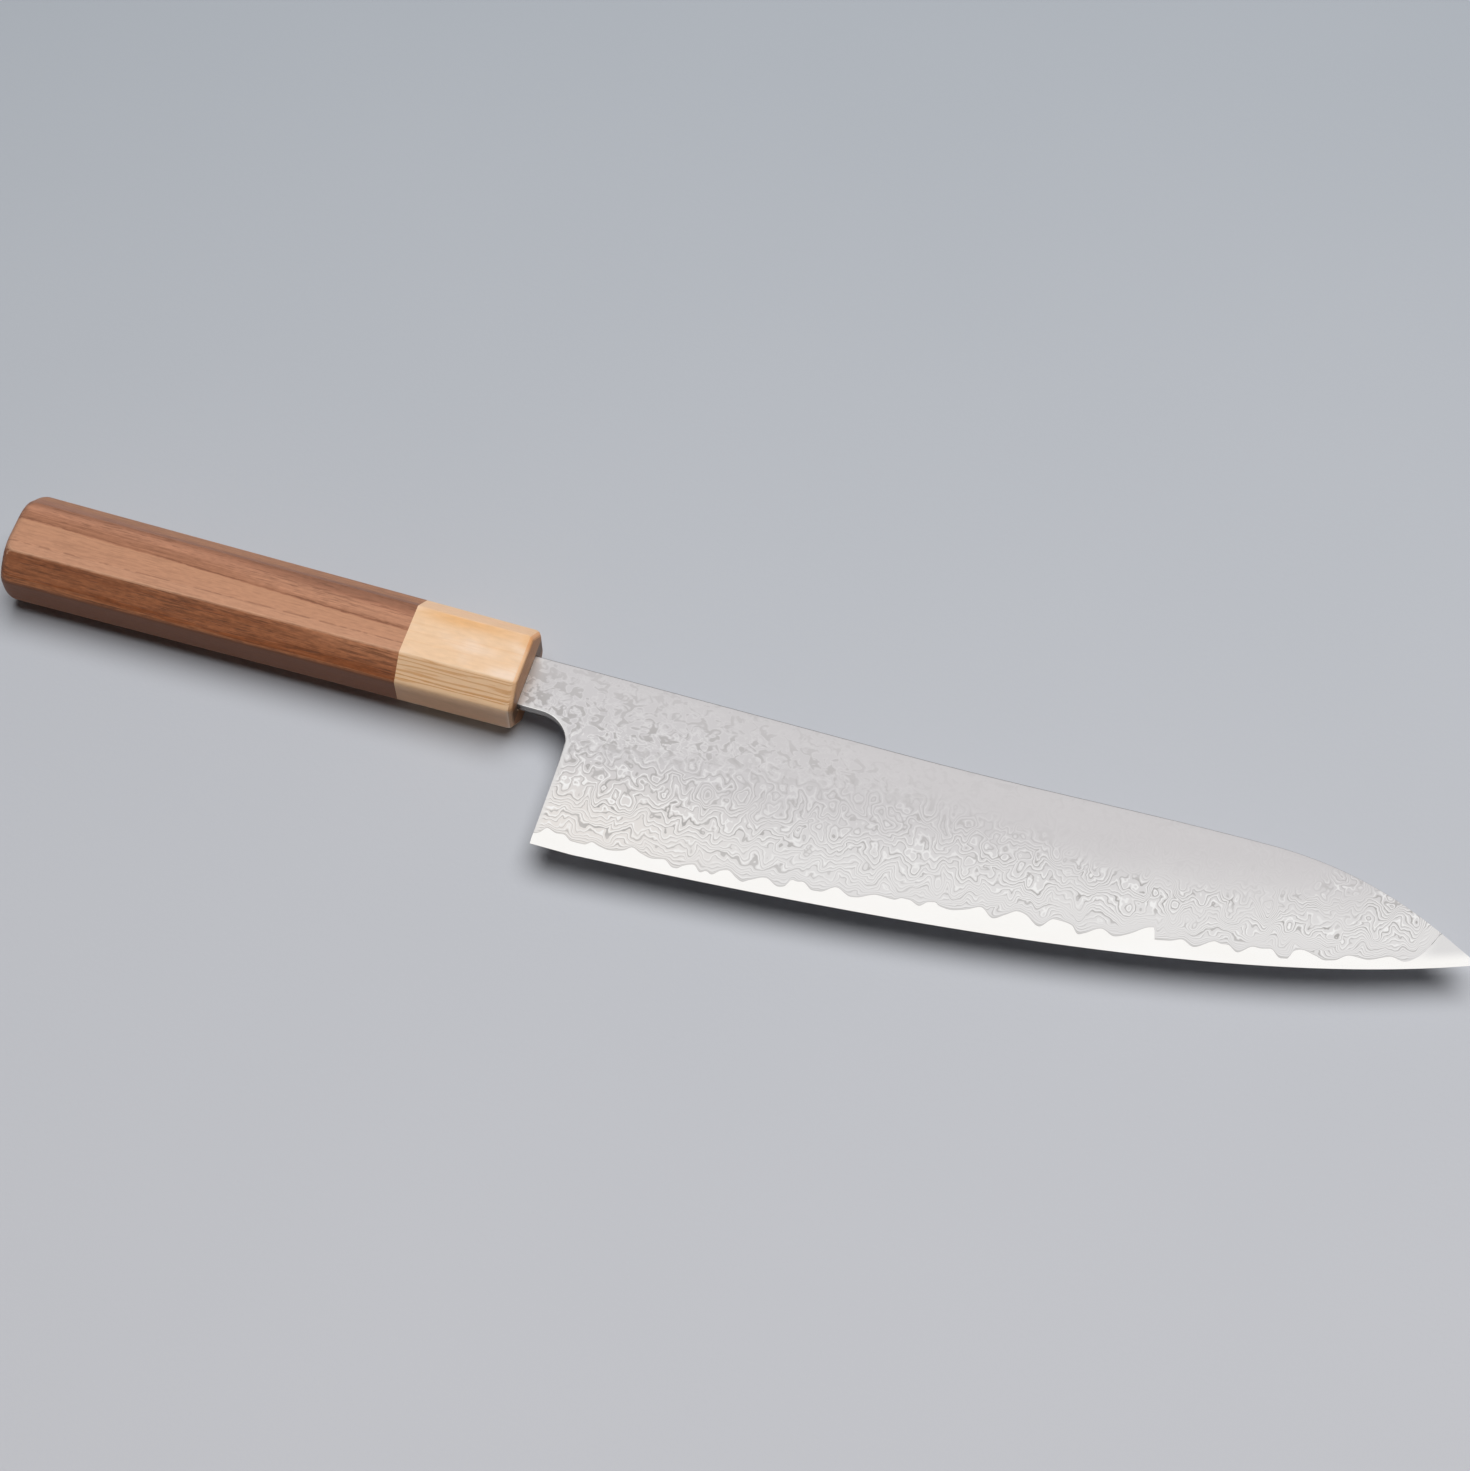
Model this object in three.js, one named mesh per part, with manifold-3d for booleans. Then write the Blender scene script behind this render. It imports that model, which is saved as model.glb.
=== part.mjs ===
// Gyuto kitchen knife: a three-layer blade whose hidden tang is glued into an eight-sided wooden handle.
// Millimetres. The knife lies on its side: +X runs to the tip, +Y to the spine, +Z up from the table.
import * as THREE from 'three';
import { mergeVertices } from 'three/addons/utils/BufferGeometryUtils.js';
import Module from 'manifold-3d';

const wasm = await Module();
wasm.setup();
const { Manifold, Mesh } = wasm;

// Handle, with the heights across spine and edge and the width across the two sides
const HANDLE_LENGTH = 127.4;
const FERRULE_LENGTH = 28.4;
const BUTT_HEIGHT = 25;
const FRONT_HEIGHT = 22.8;
const HANDLE_WIDTH = 19.5;
const BUTT_SIDE_FLAT = 13.8;
const FRONT_SIDE_FLAT = 12.6;
const SPINE_FLAT = 8;
const CORNER_EASE = 0.5;
const BUTT_ROUND = 2.2;
const MOUTH_CHAMFER = 1.6;

// Blade outline, measured from the mouth of the ferrule on the handle's axis
const BLADE_LENGTH = 210;
const NECK_LENGTH = 14;
const NECK_HEIGHT = 13.55;
const SPINE_LEVEL = 6.2;
const CHOIL_RADIUS = 8.2;
const HEEL_HEIGHT = 45.95;
const EDGE_FLAT = 10;
const TIP_DROP = 13.45;
const CREST_RISE = 1.9;
const CREST_TO_TIP = 50.4;
const CREST_RUN = 84;

// Shape of the outline's curves: slopes, and handle lengths as shares of the curve they pull
const EDGE_HEEL_SLOPE = 0.061;
const EDGE_HEEL_PULL = 0.466;
const EDGE_TIP_SLOPE = 0.409;
const EDGE_TIP_PULL = 0.217;
const CREST_PULL = 0.36;
const FALL_PULL = 0.56;
const SPINE_TIP_SLOPE = 0.4;
const SPINE_TIP_PULL = 0.14;

// Blade section
const NECK_THICKNESS = 2.5;
const TIP_THICKNESS = 0.3;
const BEHIND_EDGE = 0.34;
const BEVEL_HEIGHT = 0.6;
const TAPER_POWER = 0.75;
const GRIND_POWER = 0.85;

// Bare core strip along the edge: its height at heel, belly and tip, and the scallops of its upper line
const STRIP_HEEL = 3.4;
const STRIP_BELLY = 5.2;
const STRIP_TIP = 2.6;
const BELLY_PLACE = 0.62;
const SCALLOP_HEIGHT = 2.2;
const SCALLOP_MEAN = 0.64;
const SCALLOP_PITCH = 8.6;
const SCALLOP_WANDER = 1.5;
const WANDER_PITCH = 37;
const BARE_TIP = 9.5;
const TIP_TURN = 5;

// Tang, and the wood and glue round it
const TANG_LENGTH = 80;
const TANG_ROOT_HEIGHT = 11;
const TANG_END_HEIGHT = 7;
const MOUTH_WALL = 7;
const MOUTH_CLEARANCE = 0.25;
const GLUE_THICKNESS = 0.3;
const GLUE_GAP = 0.05;
const DOWEL_WALL = 1.2;
const DOWEL_BEYOND_TANG = 4;
const DOWEL_CLEARANCE = 0.1;
const BORE_END_CLEARANCE = 0.5;

// Fineness of the meshes
const EDGE_COLUMNS = 100;
const LEAN_COLUMNS = 20;
const HEEL_LEAN = 3;
const CHOIL_STEPS = 8;
const HEEL_STEPS = 6;
const CLAD_ROWS = 3;
const BUTT_STEPS = 4;
const BORE_SIDES = 32;
const BISECTIONS = 48;
const WELD = 1e-4;

// Places worked out from the sizes
const TIP_X = NECK_LENGTH + BLADE_LENGTH;
const TIP_Y = SPINE_LEVEL - TIP_DROP;
const EDGE_LEVEL = SPINE_LEVEL - HEEL_HEIGHT;
const FLAT_END = NECK_LENGTH + EDGE_FLAT;
const NECK_BOTTOM = SPINE_LEVEL - NECK_HEIGHT;
const CREST_X = TIP_X - CREST_TO_TIP;
const CREST_Y = SPINE_LEVEL + CREST_RISE;
const CLAD_END = TIP_X - BARE_TIP;
const SLOT_HEIGHT = TANG_ROOT_HEIGHT + 2 * GLUE_THICKNESS;
const SLOT_WIDTH = NECK_THICKNESS + 2 * GLUE_THICKNESS;
const DOWEL_DIAMETER = SLOT_HEIGHT + 2 * DOWEL_WALL;
const DOWEL_BACK = -(TANG_LENGTH + DOWEL_BEYOND_TANG);

// Outline curves
const edgeCurve = slopedCurve(
  new THREE.Vector2(FLAT_END, EDGE_LEVEL), EDGE_HEEL_SLOPE, EDGE_HEEL_PULL,
  new THREE.Vector2(TIP_X, TIP_Y), EDGE_TIP_SLOPE, EDGE_TIP_PULL,
);
const riseCurve = slopedCurve(
  new THREE.Vector2(CREST_X - CREST_RUN, SPINE_LEVEL), 0, CREST_PULL,
  new THREE.Vector2(CREST_X, CREST_Y), 0, CREST_PULL,
);
const fallCurve = slopedCurve(
  new THREE.Vector2(CREST_X, CREST_Y), 0, FALL_PULL,
  new THREE.Vector2(TIP_X, TIP_Y), -SPINE_TIP_SLOPE, SPINE_TIP_PULL,
);

function slopedCurve(start, startSlope, startPull, end, endSlope, endPull) {
  const run = end.x - start.x;
  const first = new THREE.Vector2(startPull * run, startPull * run * startSlope).add(start);
  const second = new THREE.Vector2(-endPull * run, -endPull * run * endSlope).add(end);
  return new THREE.CubicBezierCurve(start, first, second, end);
}

function heightOn(curve, x) {
  let low = 0;
  let high = 1;
  for (let step = 0; step < BISECTIONS; step += 1) {
    const middle = (low + high) / 2;
    if (curve.getPoint(middle).x < x) {
      low = middle;
    } else {
      high = middle;
    }
  }
  return curve.getPoint((low + high) / 2).y;
}

function spineY(x) {
  if (x <= CREST_X - CREST_RUN) {
    return SPINE_LEVEL;
  }
  return heightOn(x < CREST_X ? riseCurve : fallCurve, x);
}

function edgeY(x) {
  return x <= FLAT_END ? EDGE_LEVEL : heightOn(edgeCurve, x);
}

function alongBlade(x) {
  return THREE.MathUtils.clamp((x - NECK_LENGTH) / BLADE_LENGTH, 0, 1);
}

// Half the blade's thickness: it tapers to the tip and, ahead of the neck, from spine to edge
function halfThickness(x, y) {
  const taper = (1 - alongBlade(x)) ** TAPER_POWER;
  const back = (TIP_THICKNESS + (NECK_THICKNESS - TIP_THICKNESS) * taper) / 2;
  const behind = Math.min(BEHIND_EDGE / 2, back);
  const bottom = edgeY(Math.max(x, NECK_LENGTH));
  const rise = THREE.MathUtils.clamp((y - bottom) / Math.max(spineY(x) - bottom, WELD), 0, 1);
  const ground = behind + (back - behind) * rise ** GRIND_POWER;
  return THREE.MathUtils.lerp(back, ground, THREE.MathUtils.smoothstep(x, 0, NECK_LENGTH));
}

// Upper line of the bare core strip: rounded arches with teeth of cladding pointing to the edge
function stripLine(x) {
  const station = Math.max(x, NECK_LENGTH);
  const place = alongBlade(station);
  const toBelly = Math.min(place / BELLY_PLACE, 1);
  const toTip = Math.max((place - BELLY_PLACE) / (1 - BELLY_PLACE), 0);
  const plain = THREE.MathUtils.lerp(THREE.MathUtils.lerp(STRIP_HEEL, STRIP_BELLY, toBelly), STRIP_TIP, toTip);
  const wander = SCALLOP_WANDER * Math.sin((2 * Math.PI * station) / WANDER_PITCH);
  const arch = Math.abs(Math.sin((Math.PI * (station + wander)) / SCALLOP_PITCH));
  const scalloped = plain + SCALLOP_HEIGHT * (arch - SCALLOP_MEAN) * (plain / STRIP_BELLY);
  const turn = THREE.MathUtils.clamp((station - CLAD_END + TIP_TURN) / TIP_TURN, 0, 1) ** 2;
  const full = spineY(station) - edgeY(station);
  return edgeY(station) + THREE.MathUtils.lerp(scalloped, full, turn);
}

function halfCore(x) {
  const station = Math.max(x, NECK_LENGTH);
  return halfThickness(station, stripLine(station));
}

// Columns across the blade, each from a point on the back to a point on the belly side
function bladeColumns() {
  const columns = [
    { top: [-TANG_LENGTH, TANG_END_HEIGHT / 2], bottom: [-TANG_LENGTH, -TANG_END_HEIGHT / 2] },
    { top: [-MOUTH_WALL, TANG_ROOT_HEIGHT / 2], bottom: [-MOUTH_WALL, -TANG_ROOT_HEIGHT / 2] },
    { top: [0, SPINE_LEVEL], bottom: [0, NECK_BOTTOM] },
  ];
  const arcStart = NECK_LENGTH - CHOIL_RADIUS;
  const arcEndY = NECK_BOTTOM - CHOIL_RADIUS;
  const turns = CHOIL_STEPS + HEEL_STEPS;
  for (let step = 0; step <= turns; step += 1) {
    const topX = THREE.MathUtils.lerp(arcStart, NECK_LENGTH + HEEL_LEAN, step / turns);
    const angle = (Math.PI / 2) * Math.min(step / CHOIL_STEPS, 1);
    const drop = Math.max((step - CHOIL_STEPS) / HEEL_STEPS, 0);
    const bottomX = arcStart + CHOIL_RADIUS * Math.sin(angle);
    const arcY = arcEndY + CHOIL_RADIUS * Math.cos(angle);
    const bottomY = THREE.MathUtils.lerp(arcY, EDGE_LEVEL, drop);
    columns.push({ top: [topX, spineY(topX)], bottom: [bottomX, bottomY], sharp: step === turns });
  }
  const bladeStations = [];
  for (let step = 1; step < EDGE_COLUMNS; step += 1) {
    bladeStations.push(NECK_LENGTH + (BLADE_LENGTH * step) / EDGE_COLUMNS);
  }
  const pitch = BLADE_LENGTH / EDGE_COLUMNS;
  const clearOfEnd = bladeStations.filter((x) => Math.abs(x - CLAD_END) > pitch / 2);
  const stations = [...clearOfEnd, CLAD_END].sort((a, b) => a - b);
  stations.forEach((x) => {
    const lean = HEEL_LEAN * Math.max(1 - (x - NECK_LENGTH) / (LEAN_COLUMNS * pitch), 0);
    columns.push({ top: [x + lean, spineY(x + lean)], bottom: [x, edgeY(x)], sharp: true });
  });
  columns.push({ top: [TIP_X, TIP_Y], bottom: [TIP_X, TIP_Y], sharp: true, tip: true });
  return columns;
}

// Share of a column, from the back, that the cladding covers
function cladShare({ top, bottom, sharp }) {
  if (top[0] >= CLAD_END) {
    return 0;
  }
  if (!sharp && bottom[1] >= stripLine(bottom[0])) {
    return 1;
  }
  let low = 0;
  let high = 1;
  for (let step = 0; step < BISECTIONS; step += 1) {
    const middle = (low + high) / 2;
    const x = THREE.MathUtils.lerp(top[0], bottom[0], middle);
    const y = THREE.MathUtils.lerp(top[1], bottom[1], middle);
    if (y > stripLine(x)) {
      low = middle;
    } else {
      high = middle;
    }
  }
  return (low + high) / 2;
}

// Points of one column: the cladding's outer and inner faces, and the core's face down to the edge
function columnFaces(column) {
  const { top, bottom, sharp, tip } = column;
  const clad = cladShare(column);
  const length = Math.hypot(top[0] - bottom[0], top[1] - bottom[1]);
  const at = (share, half) => {
    const x = THREE.MathUtils.lerp(top[0], bottom[0], share);
    const y = THREE.MathUtils.lerp(top[1], bottom[1], share);
    return new THREE.Vector3(x, y, half(x, y));
  };
  const outer = [];
  const inner = [];
  for (let row = 0; row <= CLAD_ROWS; row += 1) {
    const share = (clad * row) / CLAD_ROWS;
    outer.push(at(share, halfThickness));
    inner.push(at(share, clad > 0 ? halfCore : halfThickness));
  }
  if (sharp) {
    outer[CLAD_ROWS].copy(at(clad, halfThickness));
    inner[CLAD_ROWS].copy(outer[CLAD_ROWS]);
  }
  const bevel = Math.max(1 - BEVEL_HEIGHT / Math.max(length, BEVEL_HEIGHT), (1 + clad) / 2);
  const bare = sharp ? [at(bevel, halfThickness), at(1, () => 0)] : [];
  while (bare.length < 2) {
    bare.push(inner[CLAD_ROWS].clone());
  }
  const core = [...inner, ...bare];
  if (tip) {
    core.forEach((point) => point.setZ(0));
  }
  return { outer, inner, core, clad };
}

// Closed skin through rings of points, each quad split on its shorter diagonal so that neighbours match
function loft(rings) {
  const triangles = [];
  const addTriangle = (a, b, c) => {
    const joined = a.distanceTo(b) < WELD || b.distanceTo(c) < WELD || c.distanceTo(a) < WELD;
    if (!joined) {
      triangles.push(a, b, c);
    }
  };
  const count = rings[0].length;
  for (let ring = 0; ring + 1 < rings.length; ring += 1) {
    for (let point = 0; point < count; point += 1) {
      const next = (point + 1) % count;
      const [a, b] = [rings[ring][point], rings[ring][next]];
      const [d, c] = [rings[ring + 1][point], rings[ring + 1][next]];
      if (a.distanceTo(c) < b.distanceTo(d)) {
        addTriangle(a, b, c);
        addTriangle(a, c, d);
      } else {
        addTriangle(a, b, d);
        addTriangle(b, c, d);
      }
    }
  }
  const [first, last] = [rings[0], rings[rings.length - 1]];
  for (let point = 1; point + 1 < count; point += 1) {
    addTriangle(first[0], first[point + 1], first[point]);
    addTriangle(last[0], last[point], last[point + 1]);
  }
  const skin = mergeVertices(new THREE.BufferGeometry().setFromPoints(triangles), WELD);
  return facingOut(skin);
}

function facingOut(geometry) {
  const position = geometry.getAttribute('position');
  const index = geometry.getIndex();
  const corners = [0, 1, 2].map(() => new THREE.Vector3());
  let volume = 0;
  for (let start = 0; start < index.count; start += 3) {
    corners.forEach((corner, offset) => corner.fromBufferAttribute(position, index.getX(start + offset)));
    volume += corners[0].dot(corners[1].clone().cross(corners[2]));
  }
  if (volume < 0) {
    for (let start = 0; start < index.count; start += 3) {
      const second = index.getX(start + 1);
      index.setX(start + 1, index.getX(start + 2));
      index.setX(start + 2, second);
    }
  }
  return geometry;
}

function mirrored(points) {
  return points.map((point) => new THREE.Vector3(point.x, point.y, -point.z));
}

// Solids for cutting
function toManifold(geometry) {
  const bare = new THREE.BufferGeometry();
  bare.setAttribute('position', geometry.getAttribute('position'));
  bare.setIndex(geometry.getIndex());
  const welded = mergeVertices(bare, WELD);
  const vertProperties = new Float32Array(welded.getAttribute('position').array);
  const triVerts = new Uint32Array(welded.getIndex().array);
  return new Manifold(new Mesh({ numProp: 3, vertProperties, triVerts }));
}

function fromManifold(solid) {
  const { vertProperties, triVerts } = solid.getMesh();
  const geometry = new THREE.BufferGeometry();
  geometry.setAttribute('position', new THREE.BufferAttribute(vertProperties, 3));
  geometry.setIndex(new THREE.BufferAttribute(triVerts, 1));
  return geometry;
}

function rodAlongX(diameter, front, back) {
  const rod = new THREE.CylinderGeometry(diameter / 2, diameter / 2, front - back, BORE_SIDES);
  return toManifold(rod.rotateZ(Math.PI / 2).translate((front + back) / 2, 0, 0));
}

function blockAlongX(front, back, top, bottom, width) {
  const block = new THREE.BoxGeometry(front - back, top - bottom, width);
  return toManifold(block.translate((front + back) / 2, (top + bottom) / 2, 0));
}

// One eight-sided ring of the handle, its corners eased, drawn in by an inset at the rims
function handleRing(x, inset) {
  const place = (x + HANDLE_LENGTH) / HANDLE_LENGTH;
  const height = THREE.MathUtils.lerp(BUTT_HEIGHT, FRONT_HEIGHT, place);
  const sideFlat = THREE.MathUtils.lerp(BUTT_SIDE_FLAT, FRONT_SIDE_FLAT, place);
  const [top, side] = [height / 2 - inset, HANDLE_WIDTH / 2 - inset];
  const [flatY, flatZ] = [(sideFlat * top) / height, (SPINE_FLAT * side) / HANDLE_WIDTH];
  const corners = [[top, flatZ], [flatY, side], [-flatY, side], [-top, flatZ]];
  const loop = [...corners, ...corners.map(([y, z]) => [-y, -z])].map(([y, z]) => new THREE.Vector3(x, y, z));
  return loop.flatMap((corner, index) => {
    const before = loop[(index + loop.length - 1) % loop.length];
    const after = loop[(index + 1) % loop.length];
    return [before, after].map((neighbour) => {
      const step = neighbour.clone().sub(corner).setLength(CORNER_EASE);
      return corner.clone().add(step);
    });
  });
}

// Steel layers
function coreGeometry(faces) {
  return loft(faces.map(({ core }) => [...core, ...mirrored(core).reverse()]));
}

function claddingGeometry(faces, side) {
  const last = faces.findIndex(({ clad }) => clad === 0);
  const rings = faces.slice(0, last + 1).map(({ outer, inner }) => [...outer, ...[...inner].reverse()]);
  return loft(side > 0 ? rings : rings.map(mirrored));
}

// Wooden pieces
function ferruleGeometry() {
  const body = loft([
    handleRing(-FERRULE_LENGTH, 0),
    handleRing(-MOUTH_CHAMFER, 0),
    handleRing(0, MOUTH_CHAMFER),
  ]);
  const bore = rodAlongX(DOWEL_DIAMETER + 2 * DOWEL_CLEARANCE, -MOUTH_WALL, -FERRULE_LENGTH - MOUTH_WALL);
  const mouth = blockAlongX(
    MOUTH_WALL, -2 * MOUTH_WALL,
    SPINE_LEVEL + MOUTH_CLEARANCE, NECK_BOTTOM - MOUTH_CLEARANCE, NECK_THICKNESS + 2 * MOUTH_CLEARANCE,
  );
  return fromManifold(toManifold(body).subtract(bore).subtract(mouth));
}

function handleBodyGeometry() {
  const rings = [];
  for (let step = 0; step <= BUTT_STEPS; step += 1) {
    const angle = (Math.PI / 2) * (step / BUTT_STEPS);
    const x = -HANDLE_LENGTH + BUTT_ROUND * (1 - Math.cos(angle));
    rings.push(handleRing(x, BUTT_ROUND * (1 - Math.sin(angle))));
  }
  rings.push(handleRing(-FERRULE_LENGTH, 0));
  const bore = rodAlongX(
    DOWEL_DIAMETER + 2 * DOWEL_CLEARANCE, -FERRULE_LENGTH + MOUTH_WALL, DOWEL_BACK - BORE_END_CLEARANCE,
  );
  return fromManifold(toManifold(loft(rings)).subtract(bore));
}

function dowelGeometry() {
  const rod = rodAlongX(DOWEL_DIAMETER, -MOUTH_WALL, DOWEL_BACK);
  const slot = blockAlongX(0, DOWEL_BACK - MOUTH_WALL, SLOT_HEIGHT / 2, -SLOT_HEIGHT / 2, SLOT_WIDTH);
  return fromManifold(rod.subtract(slot));
}

// Glue that fills the dowel's slot round and behind the tang
function tangGlueGeometry() {
  const fill = blockAlongX(-MOUTH_WALL, DOWEL_BACK, SLOT_HEIGHT / 2, -SLOT_HEIGHT / 2, SLOT_WIDTH);
  const slope = (TANG_ROOT_HEIGHT - TANG_END_HEIGHT) / (TANG_LENGTH - MOUTH_WALL);
  const profile = [
    [0, TANG_ROOT_HEIGHT + slope * MOUTH_WALL],
    [-TANG_LENGTH - GLUE_GAP, TANG_END_HEIGHT - slope * GLUE_GAP],
  ];
  const half = NECK_THICKNESS / 2 + GLUE_GAP;
  const rings = profile.map(([x, height]) => {
    const top = height / 2 + GLUE_GAP;
    return [[top, half], [-top, half], [-top, -half], [top, -half]].map(([y, z]) => new THREE.Vector3(x, y, z));
  });
  return fromManifold(fill.subtract(toManifold(loft(rings))));
}

function piece(name, geometry, color, roughness, metalness) {
  geometry.computeVertexNormals();
  const material = new THREE.MeshStandardMaterial({ color, roughness, metalness });
  const mesh = new THREE.Mesh(geometry, material);
  mesh.name = name;
  return mesh;
}

// Assembly
const faces = bladeColumns().map(columnFaces);
const knife = new THREE.Group();
knife.add(
  piece('blade_core', coreGeometry(faces), 0xdcdee0, 0.25, 1),
  piece('right_cladding', claddingGeometry(faces, 1), 0xb9bdc1, 0.42, 1),
  piece('left_cladding', claddingGeometry(faces, -1), 0xb9bdc1, 0.42, 1),
  piece('ferrule', ferruleGeometry(), 0xe2bb8a, 0.5, 0),
  piece('handle_body', handleBodyGeometry(), 0x9a6a4c, 0.5, 0),
  piece('dowel', dowelGeometry(), 0xc9a878, 0.7, 0),
  piece('tang_glue', tangGlueGeometry(), 0xd8c9a0, 0.35, 0),
);

// The part's origin is under the middle of the knife, on the table
const bounds = new THREE.Box3().setFromObject(knife);
const middle = bounds.getCenter(new THREE.Vector3());
knife.position.set(-middle.x, -middle.y, -bounds.min.z);

const part = new THREE.Group();
part.add(knife);

export default part;
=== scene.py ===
import math

import bmesh
import bpy
import numpy as np
from mathutils import Euler, Matrix, Vector


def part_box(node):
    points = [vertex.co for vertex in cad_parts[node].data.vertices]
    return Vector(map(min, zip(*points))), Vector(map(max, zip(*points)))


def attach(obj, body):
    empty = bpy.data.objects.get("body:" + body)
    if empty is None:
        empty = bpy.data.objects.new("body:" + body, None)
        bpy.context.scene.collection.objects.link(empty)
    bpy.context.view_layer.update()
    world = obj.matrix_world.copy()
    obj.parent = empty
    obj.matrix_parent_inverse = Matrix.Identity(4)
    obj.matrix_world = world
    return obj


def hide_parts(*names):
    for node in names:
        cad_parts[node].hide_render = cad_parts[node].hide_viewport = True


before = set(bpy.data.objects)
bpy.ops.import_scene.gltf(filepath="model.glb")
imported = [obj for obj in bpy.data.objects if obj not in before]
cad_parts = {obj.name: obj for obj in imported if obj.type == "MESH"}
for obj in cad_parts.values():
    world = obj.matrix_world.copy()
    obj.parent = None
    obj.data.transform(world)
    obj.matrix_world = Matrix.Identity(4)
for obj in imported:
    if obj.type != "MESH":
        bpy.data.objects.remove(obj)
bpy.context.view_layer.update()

MM = 0.001

# Places taken from the frame
grip_low, grip_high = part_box("handle_body")
ferrule_low, ferrule_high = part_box("ferrule")
steel_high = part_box("blade_core")[1]
BUTT_X = grip_low.x
JOINT_X = ferrule_low.x
MOUTH_X = ferrule_high.x
AXIS_Y = (ferrule_low.y + ferrule_high.y) / 2
AXIS_Z = (grip_low.z + grip_high.z) / 2
HANDLE_WIDTH = grip_high.z - grip_low.z
HANDLE_LENGTH = MOUTH_X - BUTT_X

# Handle
BUTT_HEIGHT = 25.0 * MM
FRONT_HEIGHT = 22.8 * MM
BUTT_SIDE_FLAT = 13.8 * MM
FRONT_SIDE_FLAT = 12.6 * MM
SPINE_FLAT = 8.0 * MM
# Least rounding of the corners, in order from the back: softer beside the back and the belly
CORNER_ROUNDS = np.array((2.0, 0.7, 0.8, 2.0, 2.0, 0.8, 0.7, 2.0)) * MM
BUTT_ROUND = 1.7 * MM
BUTT_RUN = 3.0 * MM
BUTT_CORNER = 5.5 * MM
BUTT_OVAL = 0.5
BUTT_STEPS = 8
ARC_POINTS = 6
EDGE_SUPPORT = 0.4 * MM
RING_POINTS = 8 * (ARC_POINTS + 2)
MOUTH_ROUND = 1.6 * MM
MOUTH_RUN = 1.6 * MM
MOUTH_CORNER = 1.8 * MM
MOUTH_OVAL = 0.0
MOUTH_STEPS = 6
# Directions that facets and edges look in, in degrees from the spine towards the upper side
# Chamfers get a wood tone of their own, which also paints in their shading and sheen.
CHAMFERS = (135.7, -44.3)
# Edges lightened for wear and a painted highlight
WORN_HIGHLIT_EDGES = (112.85, -112.85)
# How far from these directions, in degrees, a face still counts
CHAMFER_REACH = 30
CHAMFER_FADE = 15
WORN_HIGHLIT_REACH = 20
# Share of a face's normal along the handle: worn, highlit edges stay below it, end grain starts at it
WORN_HIGHLIT_LEAN = 0.5
END_LEAN = 0.3
MOUTH_WALL = 7.0 * MM
MOUTH_CLEARANCE = 0.25 * MM
BORE_DIAMETER = 14.2 * MM
BORE_BACK = 84.5 * MM
BORE_SIDES = 48
SLOT_CUTTER_LENGTH = 3 * MOUTH_WALL
WOOD_SMOOTHING = math.radians(30)

# Blade outline, measured from the middle of the ferrule's mouth
BLADE_LENGTH = 210.0 * MM
NECK_LENGTH = 14.0 * MM
SPINE_LEVEL = 6.2 * MM
NECK_BOTTOM = -7.35 * MM
CHOIL_RADIUS = 8.2 * MM
EDGE_LEVEL = -39.75 * MM
EDGE_FLAT = 10.0 * MM
TIP_X = steel_high.x - MOUTH_X
TIP_Y = -7.25 * MM
CREST_X = TIP_X - 50.4 * MM
CREST_Y = 8.1 * MM
CREST_RUN = 84.0 * MM
TANG_LENGTH = 80.0 * MM
TANG_ROOT_HEIGHT = 11.0 * MM
TANG_END_HEIGHT = 7.0 * MM
EDGE_RISE_POINT = (NECK_LENGTH + EDGE_FLAT, EDGE_LEVEL)
RISE_POINT = (CREST_X - CREST_RUN, SPINE_LEVEL)
CREST_POINT = (CREST_X, CREST_Y)
TIP_POINT = (TIP_X, TIP_Y)
# Slope and pull of the outline's curves at their ends
EDGE_START = (0.061, 0.466)
EDGE_END = (0.409, 0.217)
RISE_ENDS = (0, 0.36)
FALL_START = (0, 0.56)
FALL_END = (-0.4, 0.14)

# Blade section
NECK_THICKNESS = 2.5 * MM
TIP_THICKNESS = 0.3 * MM
BEHIND_EDGE = 0.34 * MM
BEVEL_HEIGHT = 0.6 * MM
TAPER_POWER = 0.75
GRIND_POWER = 0.85
SPINE_EASE = 0.4 * MM
BARE_TIP = 9.5 * MM
TIP_TURN = 6.0 * MM
TURN_POWER = 2.5
CLAD_END = TIP_X - BARE_TIP
# Limits on the rims of the cladding: a share of its thickness, and one part of so many of its height
EASE_SHARE = 0.8
RIM_PARTS = 3
# Limits on the normals of the steel's faces, along Z and towards the spine
SIDE_LEAN = 0.55
BACK_LEAN = 0.95
FOOT_LEAN = 0.97
SPINE_LEAN = 0.2

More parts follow.
